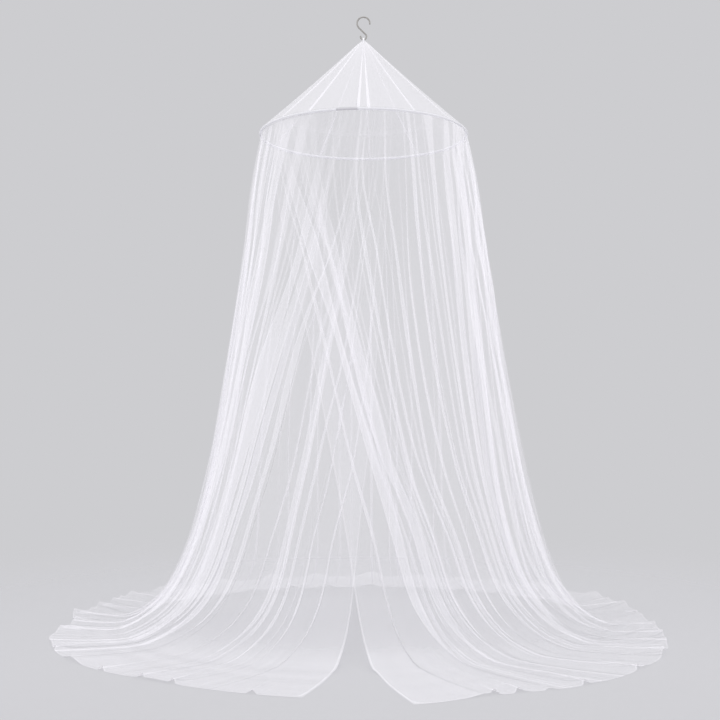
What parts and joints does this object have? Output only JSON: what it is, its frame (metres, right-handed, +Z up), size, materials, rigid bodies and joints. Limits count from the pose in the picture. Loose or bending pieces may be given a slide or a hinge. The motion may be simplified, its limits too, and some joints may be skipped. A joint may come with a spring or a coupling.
{
  "type": "mosquito net canopy with hoop and s-hook",
  "caption": "Sheer net bed canopy: a conical roof on a bound hoop under an S-hook, with a long gathered wall that opens at the front and spreads in a round train.",
  "frame": {"origin": "the hanging point: top of the S-hook's large bend, on its inner side", "axes": "+Z up along the canopy's axis, -Y towards the front opening, +X to the right seen from the front"},
  "size_m": [1.8437, 1.9079, 1.9011],
  "materials": {
    "hook_steel": "satin galvanised wire",
    "hoop_rod": "smooth grey rod",
    "white_tape": "plain woven white tape",
    "white_net": "sheer white polyester net"
  },
  "bodies": {
    "root": {"s_hook": "hook_steel", "hanging_loop": "white_tape", "net_roof": "white_net", "hoop": "hoop_rod", "hoop_binding": "white_tape", "net_wall": "white_net"}
  },
  "joints": []
}
